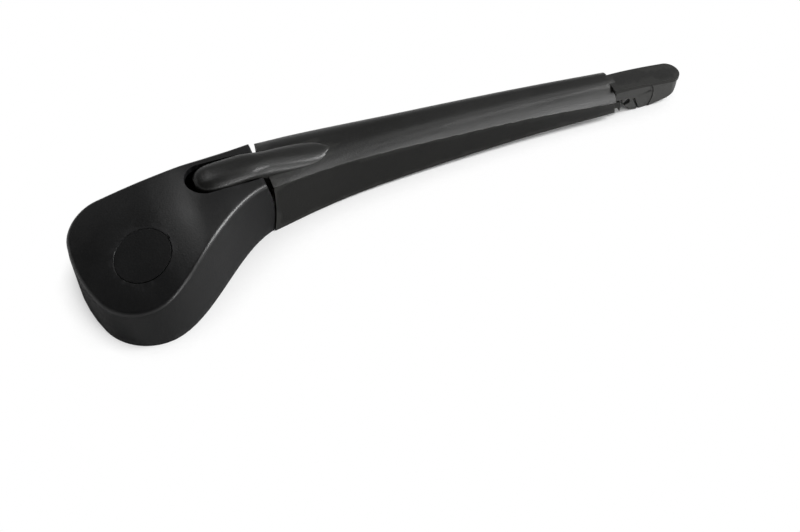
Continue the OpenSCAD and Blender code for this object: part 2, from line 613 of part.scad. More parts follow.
// Cross ribs under the arm's top, deeper beyond the spring
rib_from = rail_to + 8;
rib_t = 1.6;
ribs = floor((shoulder_x - 10 - rib_from) / rib_pitch);
module cross_rib(x) {
    roof = [for (k = [2:2:section_n - 2]) let(p = section_point(x, k, arm_wall / 2)) [p[1], p[2]]];
    low = foot_z(x) + 3;
    translate([x - rib_t / 2, 0, 0]) rotate([90, 0, 90]) linear_extrude(rib_t)
        polygon(concat(roof, [[roof[len(roof) - 1][0], low], [roof[0][0], low]]));
}
module spine_rib() {
    shape = concat([for (i = [0:8]) let(x = mix(rib_from, shoulder_x - 1, i / 8)) [x, under_skin(x)]],
        [[shoulder_x - 1, foot_z(shoulder_x) + 4], [rib_from, foot_z(rib_from) + 6]]);
    side_plate(curve_at(near_line, 200) + curve_at(width_line, 200) / 2 - rib_t / 2, rib_t, shape);
}

// Nose: a narrow top plate past the shoulder, rounded at its tip
nose_x = shoulder_x + nose_l;
nose_y = curve_at(near_line, shoulder_x) + 1 + nose_w / 2;
nose_turn = 1;
module nose_plan(grow, from) {
    r = nose_w / 2 + grow;
    translate([shoulder_x, nose_y]) rotate(-nose_turn) {
        translate([from, -r]) square([nose_l - nose_w / 2 - from, 2 * r]);
        translate([nose_l - nose_w / 2, 0]) circle(r = r);
    }
}
function nose_top(d) = nose_h - nose_fall * pow(d / nose_l, 1.6);
module nose_slab(low, high) {
    upper = [for (d = [-2:4.5:nose_l + 2]) [shoulder_x + d, nose_top(max(0, d)) - high]];
    lower = [for (i = [len(upper) - 1:-1:0]) [upper[i][0], upper[i][1] + high - low]];
    translate([0, nose_y + 30, 0]) rotate([90, 0, 0]) linear_extrude(60) polygon(concat(upper, lower));
}
module nose_plate() {
    intersection() {
        linear_extrude(40) nose_plan(0, -1);
        nose_slab(nose_t, 0);
    }
}

// Small hooks at the end of the arm's side walls, in front of the blade holder
tooth_z = foot_z(shoulder_x);
hook_teeth = [[-2, tooth_z + 5], [-2, tooth_z], [0.9, tooth_z + 0.9], [2.3, tooth_z + 1], [3.9, tooth_z - 2.1],
    [4.3, tooth_z + 1.2], [3.4, tooth_z + 4.6]];
module in_nose() {
    translate([shoulder_x, nose_y, 0]) rotate(-nose_turn) children();
}
module across(w, shape) {
    translate([0, w / 2, 0]) rotate([90, 0, 0]) linear_extrude(w) polygon(shape);
}

module arm_shell() {
    color(plastic) difference() {
        union() {
            difference() {
                arm_skin_body();
                translate([arm_seam_c, -70, arm_seam_z]) rotate([-90, 0, 0])
                    cylinder(r = arm_seam_r, h = 180, $fn = 200);
            }
            finger();
            for (y = [tongue_y - tongue_half, tongue_y + ear_inner]) ear(y);
            for (y = [anchor_y - rail_in - rail_t, anchor_y + rail_in]) side_plate(y, rail_t, rail_shape);
            for (i = [0:ribs]) cross_rib(rib_from + i * rib_pitch);
            spine_rib();
            nose_plate();
            in_nose() difference() {
                across(holder_w, hook_teeth);
                across(holder_w - 2 * holder_wall, [[-5, 0], [8, 0], [8, 20], [-5, 20]]);
            }
        }
        pin_hole(hinge_x, hinge_z, hinge_d);
        translate([anchor_p[0], anchor_y - rail_in - rail_t - 0.1, anchor_p[1]]) rotate([-90, 0, 0])
            cylinder(r = anchor_d / 2 + running_fit, h = 2 * (rail_in + rail_t) + 0.2);
        in_nose() translate([-tang_l - 1, -tang_w / 2 - part_gap, tang_z - part_gap])
            cube([tang_l + 1.5, tang_w + 2 * part_gap, tang_h + 2 * part_gap]);
    }
}

// Blade holder: a rounded tub under the nose, with a snap-in seat for the blade's pivot in each wall
holder_inset = 0.5;
holder_w = nose_w - 2 * holder_inset;
tang_l = 7;
tang_w = 6;
tang_h = 4.7;
tang_z = nose_h - nose_t - 5.4;
pivot_p = [7.8, 7.2];
sweep_r = 14.2;
function under_plate(d) = nose_top(d) - nose_t - 0.05;
holder_end = nose_l - holder_inset - 0.2;
holder_shape = concat([for (d = [0.5:4.5:holder_end - 3]) [d, under_plate(d)]],
    [[holder_end, under_plate(holder_end)], [holder_end - 1, 8.6], [holder_end - 2.8, 4.6], [holder_end - 6.4, 2.4],
    [holder_end - 15, 0.5], [18, 0], [14, 0], [11, 0.4], [pivot_p[0] - 2.4, pivot_p[1] - 1.2],
    [pivot_p[0] - 2.9, tooth_z + 5.3], [0.7, tooth_z + 5.6]]);
module blade_holder() {
    snap_w = pivot_d * 0.66;
    color(plastic) difference() {
        union() {
            difference() {
                intersection() {
                    in_nose() across(holder_w, holder_shape);
                    translate([0, 0, -over]) linear_extrude(40) nose_plan(-holder_inset, -5);
                }
                intersection() {
                    translate([0, 0, -over]) linear_extrude(40) nose_plan(-holder_inset - holder_wall, -8);
                    nose_slab(20, nose_t + 1.6);
                }
            }
            in_nose() translate([-tang_l, -tang_w / 2, tang_z]) cube([tang_l + 4, tang_w, tang_h]);
        }
        in_nose() {
            translate([pivot_p[0], -nose_w, pivot_p[1]]) rotate([-90, 0, 0])
                cylinder(r = pivot_d / 2, h = 2 * nose_w);
            translate([pivot_p[0], 0, pivot_p[1]]) rotate([0, -40, 0]) translate([-8, -nose_w, -snap_w / 2])
                cube([8, 2 * nose_w, snap_w]);
            translate([10.9, -nose_w, 8]) rotate([0, 68, 0]) cube([12, 2 * nose_w, 1.2]);
            for (y = [-holder_w / 2 - 1, holder_w / 2 - 0.4]) translate([pivot_p[0], y, pivot_p[1]]) rotate([-90, 0, 0])
                cylinder(r = sweep_r, h = 1.4, $fn = 96);
        }
    }
}

head_housing();
spindle_insert();
nut_cover();
hinge_pin();
hinge_clip();
hook_pin();
spring_hook();
tension_spring();
spring_anchor();
arm_shell();
blade_holder();
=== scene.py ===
import math
import bpy
import bmesh
from mathutils import Matrix, Vector
from mathutils.bvhtree import BVHTree

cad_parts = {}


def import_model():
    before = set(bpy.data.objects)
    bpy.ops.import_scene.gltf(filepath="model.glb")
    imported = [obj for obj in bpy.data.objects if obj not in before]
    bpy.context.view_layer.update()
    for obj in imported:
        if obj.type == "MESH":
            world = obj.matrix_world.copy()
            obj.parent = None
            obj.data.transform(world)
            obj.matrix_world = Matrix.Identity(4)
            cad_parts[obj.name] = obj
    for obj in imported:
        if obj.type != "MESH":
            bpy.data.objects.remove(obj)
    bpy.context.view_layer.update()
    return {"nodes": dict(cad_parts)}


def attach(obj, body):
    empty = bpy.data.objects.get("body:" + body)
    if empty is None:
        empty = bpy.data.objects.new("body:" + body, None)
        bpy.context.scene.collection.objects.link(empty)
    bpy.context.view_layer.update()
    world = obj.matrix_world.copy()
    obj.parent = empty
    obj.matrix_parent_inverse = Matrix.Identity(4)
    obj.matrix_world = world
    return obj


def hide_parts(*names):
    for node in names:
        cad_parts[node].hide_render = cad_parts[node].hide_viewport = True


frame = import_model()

nodes = frame["nodes"]
MM = 0.001


# Camera, fitted to the photograph: lengths in metres, angles in degrees, places in the picture in pixels
CAMERA_TURN, CAMERA_DROP = 22, 53
FOCAL_PX, FRAME_W, FRAME_H = 1200.0, 800, 532
SPINDLE_PX, SPINDLE_DEPTH = (143, 293), 0.541
CAMERA_SHIFT = Vector((0.0041, -0.0031, 0))
SENSOR_W = 36


def aim_camera():
    az, el = math.radians(CAMERA_TURN), math.radians(CAMERA_DROP)
    right = Vector((math.cos(az), -math.sin(az), 0))
    ahead = Vector((math.sin(az), math.cos(az), 0))
    look = ahead * math.cos(el) - Vector((0, 0, math.sin(el)))
    up = ahead * math.sin(el) + Vector((0, 0, math.cos(el)))
    ray = (look + right * ((SPINDLE_PX[0] - FRAME_W / 2) / FOCAL_PX)
           - up * ((SPINDLE_PX[1] - FRAME_H / 2) / FOCAL_PX))
    place = -ray * SPINDLE_DEPTH - CAMERA_SHIFT
    cam = bpy.data.objects.new("camera", bpy.data.cameras.new("camera"))
    bpy.context.scene.collection.objects.link(cam)
    turn = Matrix((right, up, -look)).transposed().to_4x4()
    cam.matrix_world = Matrix.Translation(place) @ turn
    cam.data.sensor_width = SENSOR_W
    cam.data.lens = SENSOR_W * FOCAL_PX / FRAME_W
    cam.data.clip_start = 0.01
    bpy.context.scene.camera = cam


# Materials. A surface that faces up more than TOP_SPAN counts as a top, and the rest as an upright wall.
PLASTIC_ROUGH, WALL_MATT, TOP_SPAN = (0.31, 0.41), 0.1, (0.1, 0.5)
GRAIN_SIZE, GRAIN_HEIGHT = 1300, 0.00008
METALLIC, SCRATCH, SCRATCH_HEIGHT = 0.95, 0.12, 0.00003
PLASTIC_WEAR, METAL_WEAR, WEAR_SPAN = 1.9, 1.25, (0.52, 0.6)


class Graph:
    def __init__(self, name):
        self.mat = bpy.data.materials.new(name)
        self.mat.use_nodes = True
        self.tree = self.mat.node_tree
        self.bsdf = self.tree.nodes["Principled BSDF"]
        coords = self.tree.nodes.new("ShaderNodeTexCoord")
        self.place = coords.outputs["Object"]

    def link(self, a, b):
        self.tree.links.new(a, b)

    def noise(self, scale, detail=3.0, rough=0.5, stretch=None):
        n = self.tree.nodes.new("ShaderNodeTexNoise")
        n.inputs["Scale"].default_value = scale
        n.inputs["Detail"].default_value = detail
        n.inputs["Roughness"].default_value = rough
        source = self.place
        if stretch:
            m = self.tree.nodes.new("ShaderNodeMapping")
            m.inputs["Scale"].default_value = stretch
            self.link(source, m.inputs["Vector"])
            source = m.outputs["Vector"]
        self.link(source, n.inputs["Vector"])
        return n.outputs["Fac"]

    def cells(self, scale):
        n = self.tree.nodes.new("ShaderNodeTexVoronoi")
        n.inputs["Scale"].default_value = scale
        self.link(self.place, n.inputs["Vector"])
        return n.outputs["Distance"]

    def span(self, value, low, high, to_low, to_high):
        n = self.tree.nodes.new("ShaderNodeMapRange")
        for k, v in (("From Min", low), ("From Max", high), ("To Min", to_low), ("To Max", to_high)):
            n.inputs[k].default_value = v
        self.link(value, n.inputs["Value"])
        return n.outputs["Result"]

    def ramp(self, value, stops):
        n = self.tree.nodes.new("ShaderNodeValToRGB")
        while len(n.color_ramp.elements) < len(stops):
            n.color_ramp.elements.new(0.5)
        for e, (at, color) in zip(n.color_ramp.elements, stops):
            e.position = at
            e.color = (*color, 1)
        self.link(value, n.inputs["Fac"])
        return n.outputs["Color"]

    def mix(self, fac, a, b):
        n = self.tree.nodes.new("ShaderNodeMix")
        n.data_type = "RGBA"
        self.link(fac, n.inputs["Factor"])
        for socket, v in ((n.inputs[6], a), (n.inputs[7], b)):
            if isinstance(v, tuple):
                socket.default_value = (*v, 1)
            else:
                self.link(v, socket)
        return n.outputs[2]

    def math(self, kind, a, b):
        n = self.tree.nodes.new("ShaderNodeMath")
        n.operation = kind
        for socket, v in zip(n.inputs, (a, b)):
            if isinstance(v, (int, float)):
                socket.default_value = v
            else:
                self.link(v, socket)
        return n.outputs[0]

    def worn(self, skin, light, gain):
        """The skin's colour, paler along the edges."""
        n = self.tree.nodes.new("ShaderNodeNewGeometry")
        edge = self.span(n.outputs["Pointiness"], *WEAR_SPAN, 0, 1)
        return self.mix(edge, skin, tuple(min(1, c * gain) for c in light))

    def bump(self, height, strength, distance):
        n = self.tree.nodes.new("ShaderNodeBump")
        n.inputs["Strength"].default_value = strength
        n.inputs["Distance"].default_value = distance
        self.link(height, n.inputs["Height"])
        return n.outputs["Normal"]

    def set(self, **values):
        for key, v in values.items():
            socket = self.bsdf.inputs[key.replace("_", " ")]
            if isinstance(v, (int, float, tuple)):
                socket.default_value = (*v, 1) if isinstance(v, tuple) else v
            else:
                self.link(v, socket)


def plastic(name, dark, light, grain=0.45, spec=0.42, side_spec=0.17):
    """Moulded plastic with a fine grain; its upright walls are more matt than its tops."""
    g = Graph(name)
    cloud = g.noise(38, 4, 0.6)
    fine = g.noise(GRAIN_SIZE, 3, 0.7)
    cell = g.cells(GRAIN_SIZE * 0.9)
    speck = g.math("ADD", g.math("MULTIPLY", cloud, 0.55), g.math("MULTIPLY", fine, 0.45))
    skin = g.ramp(speck, [(0.38, dark), (0.62, light)])
    split = g.tree.nodes.new("ShaderNodeSeparateXYZ")
    g.link(g.tree.nodes.new("ShaderNodeNewGeometry").outputs["Normal"], split.inputs["Vector"])
    top = g.span(split.outputs["Z"], *TOP_SPAN, 0, 1)
    rough = g.span(speck, 0.35, 0.65, *PLASTIC_ROUGH)
    g.set(Base_Color=g.worn(skin, light, PLASTIC_WEAR),
          Roughness=g.math("ADD", rough, g.span(top, 0, 1, WALL_MATT, 0)),
          Specular_IOR_Level=g.span(top, 0, 1, side_spec, spec),
          Normal=g.bump(g.math("ADD", fine, cell), grain, GRAIN_HEIGHT))
    return g.mat


def metal(name, dark, light, rough=(0.25, 0.42), brush=(60, 60, 900)):
    """Bare metal with fine lines along the direction in which brush is smallest."""
    g = Graph(name)
    cloud = g.noise(90, 4, 0.6)
    lines = g.noise(9, 4, 0.7, brush)
    skin = g.ramp(g.math("ADD", g.math("MULTIPLY", cloud, 0.6), g.math("MULTIPLY", lines, 0.4)),
                  [(0.35, dark), (0.65, light)])
    g.set(Base_Color=g.worn(skin, light, METAL_WEAR), Metallic=METALLIC,
          Roughness=g.span(lines, 0.3, 0.7, *rough), Normal=g.bump(lines, SCRATCH, SCRATCH_HEIGHT))
    return g.mat


WELD_DISTANCE = 0.00001
SHARP_ANGLE = 38


def dress(obj, mat):
    obj.data.materials.clear()
    obj.data.materials.append(mat)


def soften(obj, width, wide=None):
    """Round every sharp edge by width, and the weighted ones by wide."""
    weld = obj.modifiers.new("weld", "WELD")
    weld.merge_threshold = WELD_DISTANCE
    if wide:
        bevel = obj.modifiers.new("bevel_wide", "BEVEL")
        bevel.width = wide
        bevel.segments = 4
        bevel.limit_method = "WEIGHT"
        bevel.use_clamp_overlap = False
    bevel = obj.modifiers.new("bevel", "BEVEL")
    bevel.width = width
    bevel.segments = 2
    bevel.limit_method = "ANGLE"
    bevel.angle_limit = math.radians(SHARP_ANGLE)
    bevel.use_clamp_overlap = True


def shade(obj):
    for p in obj.data.polygons:
        p.use_smooth = True
    normal = obj.modifiers.new("normals", "WEIGHTED_NORMAL")
    normal.keep_sharp = False
    normal.weight = 50


head_mat = plastic("head_plastic", (0.0034, 0.0035, 0.0037), (0.0056, 0.0057, 0.006), grain=0.28, spec=0.58)
arm_mat = plastic("arm_plastic", (0.0062, 0.0062, 0.0057), (0.0098, 0.0098, 0.009), spec=0.6)
cover_mat = plastic("cover_plastic", (0.0032, 0.0034, 0.0036), (0.0052, 0.0054, 0.0056), grain=0.28, spec=0.5)
holder_mat = plastic("holder_plastic", (0.013, 0.013, 0.0125), (0.02, 0.02, 0.019), grain=0.3, side_spec=0.35)
zinc_mat = metal("insert_zinc", (0.34, 0.33, 0.31), (0.5, 0.49, 0.46), rough=(0.4, 0.6), brush=(200, 200, 200))
pin_mat = metal("pin_steel", (0.42, 0.43, 0.45), (0.62, 0.63, 0.65))
clip_mat = metal("clip_steel", (0.1, 0.1, 0.1), (0.2, 0.2, 0.21), rough=(0.4, 0.6), brush=(300, 300, 300))
hook_mat = metal("hook_steel", (0.4, 0.38, 0.3), (0.6, 0.57, 0.46), rough=(0.3, 0.5), brush=(400, 60, 400))
spring_mat = metal("spring_steel", (0.22, 0.22, 0.23), (0.4, 0.4, 0.42), rough=(0.25, 0.4), brush=(300, 300, 300))


# The moulded skins as exact surfaces, in millimetres. The two big solids take their shading from these,
# because their own facets leave streaks round the holes.
def mix(a, b, t):
    return a + (b - a) * t


def limit(t):
    return min(1.0, max(0.0, t))


def ease(t):
    t = limit(t)
    return t * t * (3 - 2 * t)


def toward(a):
    return Vector((math.cos(a), math.sin(a)))


def hermite(a, b, leave, arrive, t):
    s = t * t
    return ((2 * s * t - 3 * s + 1) * a + (s * t - 2 * s + t) * leave
            + (3 * s - 2 * s * t) * b + (s * t - s) * arrive)


def curve_at(p, x):
    """The height at x of a smooth line through the points."""
    j = 0
    while j < len(p) - 2 and x >= p[j + 1][0]:
        j += 1

    def rise(i):
        a, b = max(0, i - 1), min(len(p) - 1, i + 1)
        return (p[b][1] - p[a][1]) / (p[b][0] - p[a][0])
    d = p[j + 1][0] - p[j][0]
    return hermite(p[j][1], p[j + 1][1], d * rise(j), d * rise(j + 1), (x - p[j][0]) / d)


lobe_r, corner_r, lobe_far, lobe_rear, lobe_near = 25.5, 18.0, 40.4, 29.6, 27.1
neck_near, neck_far, seam_x, front_x = 16.4, 46.0, 63.6, 71.6
head_h, hump_h, neck_h, rear_h, head_edge_r = 29.6, 34.8, 30.8, 21.6, 1.8
shoulder_x, arm_root_h, arm_tip_h, arm_root_w, arm_tip_w, arm_lift = 244.0, 30.0, 18.6, 29.6, 19.4, 4.2
finger_w, finger_rear, finger_front, finger_h, finger_y = 16.0, 32.0, 33.0, 37.2, 28.9
arm_wall, finger_foot = 2.6, 32.3
side_lead, wall_flare, top_tilt, top_crown = math.radians(14), math.radians(2.5), math.radians(4.2), 2.2
edge_steps, arc_steps, side_steps, wall_steps, roll_steps, top_steps = 110, 50, 30, 12, 12, 40
arm_steps, arch_steps, finger_steps, finger_arc = 360, 60, 260, 72
lobe_c = Vector((-0.6, lobe_r - lobe_near))
corner_c = Vector((corner_r - lobe_rear, lobe_far - corner_r))


def near_y(x):
    return (mix(-lobe_near, neck_near, ease((x - lobe_c.x) / (seam_x + 4.5 - lobe_c.x)))
            + max(0, x - seam_x) * 0.2)


def far_y(x):
    t = limit((x - lobe_c.x) / (seam_x - lobe_c.x))
    return lobe_far + (neck_far - lobe_far) * t - 2.2 * math.sin(math.pi * t) + max(0, x - seam_x) * 0.05


def middle_y(x):
    return mix(lobe_far / 2 - 13, (neck_near + neck_far) / 2, ease(x / seam_x))


head_line = [(-lobe_rear - 6, rear_h - 1.5), (-lobe_rear, rear_h), (-15, mix(rear_h, head_h, 0.53)), (0, head_h),
             (13, mix(head_h, hump_h, 0.62)), (27, hump_h), (40, mix(neck_h, hump_h, 0.8)),
             (52, mix(neck_h, hump_h, 0.42)), (seam_x, neck_h), (front_x + 2, neck_h - 2.2)]
draft_line = [(-lobe_rear, 0.2), (-5, 0.6), (20, 2.4), (38, 2.3), (seam_x, 1.2)]


def head_top(x, y):
    return (curve_at(head_line, x) + math.tan(top_tilt) * y * (1 - ease(x / seam_x))
            - top_crown * ((y - middle_y(x)) / 35) ** 2)


def head_outline():
    """Points of the base outline, each with the direction that leads into the head."""
    def inward(f, x, sign):
        slope = (f(x + 0.01) - f(x - 0.01)) / 0.02
        return Vector((-slope, 1)).normalized() * sign
    chord = corner_c - lobe_c
    turn = math.atan2(chord.y, chord.x) + math.acos((lobe_r - corner_r) / chord.length)
    a0, a1 = turn + side_lead, turn - side_lead
    p0, p1 = lobe_c + lobe_r * toward(a0), corner_c + corner_r * toward(a1)
    pull = (p1 - p0).length
    leave, arrive = Vector((math.sin(a0), -math.cos(a0))) * pull, Vector((math.sin(a1), -math.cos(a1))) * pull
    rows = []
    for i in range(edge_steps):
        x = mix(front_x, lobe_c.x, i / edge_steps)
        rows.append((Vector((x, near_y(x))), inward(near_y, x, 1)))
    for i in range(arc_steps):
        n = toward(mix(math.radians(270), a0, i / arc_steps))
        rows.append((lobe_c + lobe_r * n, -n))
    for i in range(side_steps):
        before, here, after = (hermite(p0, p1, leave, arrive, i / side_steps + d) for d in (-0.005, 0, 0.005))
        d = (after - before).normalized()
        rows.append((here, Vector((d.y, -d.x))))
    for i in range(arc_steps):
        n = toward(mix(a1, math.radians(90), i / arc_steps))
        rows.append((corner_c + corner_r * n, -n))
    for i in range(edge_steps, -1, -1):
        x = mix(front_x, lobe_c.x, i / edge_steps)
        rows.append((Vector((x, far_y(x))), inward(far_y, x, -1)))
    return rows


def grid_surface(rows):
    """A fine mesh through rows of points, as a search tree with smooth normals."""
    n = len(rows[0])
    points = [p for row in rows for p in row]
    faces = [(i * n + k, i * n + k + 1, (i + 1) * n + k + 1, (i + 1) * n + k)
             for i in range(len(rows) - 1) for k in range(n - 1)]
    mesh = bpy.data.meshes.new("reference")
    mesh.from_pydata([p * MM for p in points], [], faces)
    mesh.update()
    tree = BVHTree.FromPolygons([v.co.copy() for v in mesh.vertices], [tuple(p.vertices) for p in mesh.polygons])
    normals = [v.normal.copy() for v in mesh.vertices]
    corners = [tuple(p.vertices) for p in mesh.polygons]
    places = [v.co.copy() for v in mesh.vertices]
    bpy.data.meshes.remove(mesh)
    return tree, normals, corners, places


def head_reference():
    """The head's outside: its wall, the rolled edge and the top, whose normals come from its formula."""
    rows = []
    for p, n in head_outline():
        h = head_top(p.x, p.y)
        r = head_edge_r
        slope = math.tan(math.radians(curve_at(draft_line, min(p.x, seam_x))))
        row = [Vector((p.x, p.y, 0))]
        for k in range(1, wall_steps):
            z = (h - r) * k / wall_steps
            row.append(Vector((p.x + n.x * slope * z, p.y + n.y * slope * z, z)))
        for k in range(roll_steps + 1):
            a = math.radians(90) * k / roll_steps
            q = p + n * (slope * (h - r) + r * (1 - math.cos(a)))
            row.append(Vector((q.x, q.y, head_top(q.x, q.y) - r * (1 - math.sin(a)))))
        e = p + n * (slope * (h - r) + r)
        x = min(front_x, max(lobe_c.x, p.x))
        spine = Vector((x, middle_y(0) if p.x <= lobe_c.x else (near_y(x) + far_y(x)) / 2))
        for k in range(1, top_steps + 1):
            q = e.lerp(spine, k / top_steps)
            row.append(Vector((q.x, q.y, head_top(q.x, q.y))))
        rows.append(row)
    tree, normals, corners, places = grid_surface(rows)
    for i, place in enumerate(places):
        if i % len(rows[0]) >= wall_steps + roll_steps:
            x, y = place.x / MM, place.y / MM
            normals[i] = Vector((head_top(x - 0.05, y) - head_top(x + 0.05, y),
                                 head_top(x, y - 0.05) - head_top(x, y + 0.05), 0.1)).normalized()
    return tree, normals, corners, places


near_line = [(seam_x - 8, neck_near - 1.4), (seam_x + 2, neck_near + 0.1), (seam_x + 23, neck_near + 3.6),
             (110, neck_near + 6), (148, neck_near + 7), (198, neck_near + 6.4), (shoulder_x, neck_near + 3.8)]
width_line = [(seam_x - 8, arm_root_w + 1), (seam_x, arm_root_w), (110, mix(arm_tip_w, arm_root_w, 0.46)),
              (168, mix(arm_tip_w, arm_root_w, 0.2)), (shoulder_x, arm_tip_w)]
top_line = [(seam_x - 8, arm_root_h + 0.6), (seam_x, arm_root_h), (108, mix(arm_tip_h, arm_root_h, 0.7)),
            (158, mix(arm_tip_h, arm_root_h, 0.4)), (203, mix(arm_tip_h, arm_root_h, 0.16)), (shoulder_x, arm_tip_h)]
band_line = [(seam_x - 8, 1.8), (seam_x, 2), (108, 3.4), (158, 5), (203, 6), (shoulder_x, 8)]


def arm_reference(part):
    """The arm's arched top, or its near or far side wall."""
    rows = []
    for i in range(arm_steps + 1):
        x = mix(seam_x - 6, shoulder_x, i / arm_steps)
        along = limit((x - seam_x) / (shoulder_x - seam_x))
        yn, w, top = curve_at(near_line, x), curve_at(width_line, x), curve_at(top_line, x)
        ridge, c, half = top - curve_at(band_line, x), yn + w / 2, w / 2
        foot = arm_lift * max(0, x - seam_x) / (shoulder_x - seam_x)
        if part == "top":
            row = []
            for k in range(arch_steps + 1):
                u = -math.cos(math.pi * k / arch_steps)
                power = 4.4 if u > 0 else mix(3.4, 2.5, along)
                row.append(Vector((x, c + half * u, ridge + (top - ridge) * (1 - abs(u) ** power))))
        else:
            side = -1 if part == "near" else 1
            flare = math.tan(wall_flare) * (ridge - foot)
            ledge, drop = mix(0.2, 1, along), mix(0.4, 1.2, along)
            a = Vector((x, c + side * (half + flare), foot))
            b = Vector((x, c + side * (half - ledge), ridge - drop))
            row = [a.lerp(b, k / 6) for k in range(7)]
        rows.append(row)
    return grid_surface(rows)


def finger_reference():
    """The finger's arched back, from its rear end to where it runs out on the arm."""
    rear = seam_x - finger_rear
    wide = [(rear, 0.42), (rear + 1, 0.63), (rear + 3, 0.85), (rear + 6, 0.97), (rear + 10, 1), (seam_x - 8, 0.96),
            (seam_x, 0.9), (seam_x + finger_front * 0.4, 0.95), (seam_x + finger_front * 0.7, 0.88),
            (seam_x + finger_front * 0.88, 0.66), (seam_x + finger_front, 0.2)]
    high = [(rear, finger_h - 2.4), (rear + 2, finger_h - 1), (rear + 8, finger_h), (seam_x - 12, finger_h - 0.6),
            (seam_x, finger_h - 2.4), (seam_x + finger_front * 0.5, arm_root_h + 1.4),
            (seam_x + finger_front, mix(arm_tip_h, arm_root_h, 0.78))]
    middle = [(rear, finger_y - 1.3), (44, finger_y - 0.9), (seam_x, finger_y + 0.7),
              (seam_x + finger_front, finger_y + 2.6)]
    rows = []
    for i in range(finger_steps + 1):
        x = rear + (finger_rear + finger_front) * i / finger_steps
        w = finger_w / 2 * curve_at(wide, x)
        low = finger_foot
        if x >= seam_x - 6:
            low = mix(finger_foot, curve_at(top_line, x) - arm_wall * 0.8, limit((x - seam_x + 6) / 8))
        t = curve_at(high, x)
        row = []
        for k in range(finger_arc + 1):
            a = math.pi * (1 - k / finger_arc)
            c, q = math.cos(a), max(0.0, math.sin(a))
            row.append(Vector((x, curve_at(middle, x) + w * math.copysign(abs(c) ** 0.75, c),
                               low + (t - low) * q ** 0.8)))
        rows.append(row)
    return grid_surface(rows)


# How near a skin's point lies to its exact surface, and how alike the two directions are (cosines)
REACH, SAME_SIDE, SAME_SKIN = 0.0005, 0.66, 0.95


def reference_at(surface, place, reach):
    """The exact surface's direction next to the place, and how far off it is."""
    tree, normals, corners, places = surface
    spot, flat, index, gap = tree.find_nearest(place, reach)
    if spot is None:
        return None
    ids = corners[index]
    weights = [1 / ((places[k] - spot).length + 1e-7) for k in ids]
    return sum((normals[k] * w for k, w in zip(ids, weights)), Vector()).normalized(), gap


def corner_normals(mesh, surfaces):
    """A normal for each face corner: the exact surface's where the face lies on it, else its neighbours' mean."""
    around = [[] for v in mesh.vertices]
    for f in mesh.polygons:
        for k in f.vertices:
            around[k].append(f.index)
    found = []
    for v in mesh.vertices:
        found.append([hit for hit in (reference_at(surface, v.co, REACH) for surface in surfaces) if hit])
    chosen = [Vector((0, 0, 1))] * len(mesh.loops)
    for f in mesh.polygons:
        for loop, k in zip(f.loop_indices, f.vertices):
            total = Vector()
            for j in around[k]:
                other = mesh.polygons[j]
                if other.normal.dot(f.normal) > SAME_SIDE:
                    total += other.normal * other.area ** 1.5
            mean = total.normalized() if total.length else f.normal.copy()
            best = None
            for smooth, gap in found[k]:
                if smooth.dot(mean) < 0:
                    smooth = -smooth
                if smooth.dot(mean) > SAME_SKIN and (best is None or gap < best[1]):
                    best = (smooth, gap)
            chosen[loop] = best[0] if best else mean
    return chosen


CUT_SNAP = 0.00003
MITRE = 0.6


def smooth_copy(name, body, mat, surfaces, width, wide=None, pick=None, cuts=()):
    """The node's own shape with its sharp edges eased, shaded from the exact surfaces.

    The picked edges are rounded by wide. Each cut gives a direction and a step, and parts the long facets.
    """
    node = nodes[name]
    mesh = node.data.copy()
    bm = bmesh.new()
    bm.from_mesh(mesh)
    bmesh.ops.remove_doubles(bm, verts=bm.verts, dist=WELD_DISTANCE)
    for way, step in cuts:
        way = Vector(way).normalized()
        reach = [v.co.dot(way) for v in bm.verts]
        low, high = min(reach), max(reach)
        for i in range(1, int((high - low) / step)):
            bmesh.ops.bisect_plane(bm, geom=bm.verts[:] + bm.edges[:] + bm.faces[:], dist=CUT_SNAP,
                                   plane_co=way * (low + i * step), plane_no=way)
    if pick:
        weight = bm.edges.layers.float.new("bevel_weight_edge")
        for e in bm.edges:
            if len(e.link_faces) == 2 and e.calc_face_angle(0) > MITRE:
                if all(pick(*(v.co / MM)) for v in e.verts):
                    e[weight] = 1.0
    bm.to_mesh(mesh)
    bm.free()
    copy = bpy.data.objects.new(name + "_skin", mesh)
    bpy.context.scene.collection.objects.link(copy)
    soften(copy, width, wide=wide)
    bpy.context.view_layer.update()
    graph = bpy.context.evaluated_depsgraph_get()
    mesh = bpy.data.meshes.new_from_object(copy.evaluated_get(graph))
    copy.modifiers.clear()
    copy.data = mesh
    mesh.name = name + "_skin"
    for f in mesh.polygons:
        f.use_smooth = True
    mesh.normals_split_custom_set(corner_normals(mesh, surfaces))
    dress(copy, mat)
    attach(copy, body)
    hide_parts(name)


COVER_AXIS, RECESS_R = Vector((-0.242813, -0.0988107, 0.965028)), 13.15
NEAR_LINE = 0.3


def on_recess_rim(x, y, z):
    off = Vector((x, y, z - head_top(0, 0))).cross(COVER_AXIS).length
    return abs(off - RECESS_R) < 0.12 and abs(z - head_top(x, y)) < NEAR_LINE


def ridge_at(x):
    return curve_at(top_line, x) - curve_at(band_line, x)


def on_ridge(x, y, z):
    if not seam_x - 3 < x < shoulder_x + 0.1:
        return False
    yn, w = curve_at(near_line, x), curve_at(width_line, x)
    return abs(z - ridge_at(x)) < NEAR_LINE and min(abs(y - yn), abs(y - yn - w)) < NEAR_LINE


def on_nose_edge(x, y, z):
    return x > shoulder_x + 1 and z > 9


ACROSS_X, ACROSS_Y, ACROSS_Z = (1, 0, 0), (0, 1, 0), (0, 0, 1)
# The arm's long facets are cut along its ridge, which falls evenly from the root to the shoulder
ACROSS_RIDGE = ((ridge_at(seam_x) - ridge_at(shoulder_x)) / (shoulder_x - seam_x), 0, 1)

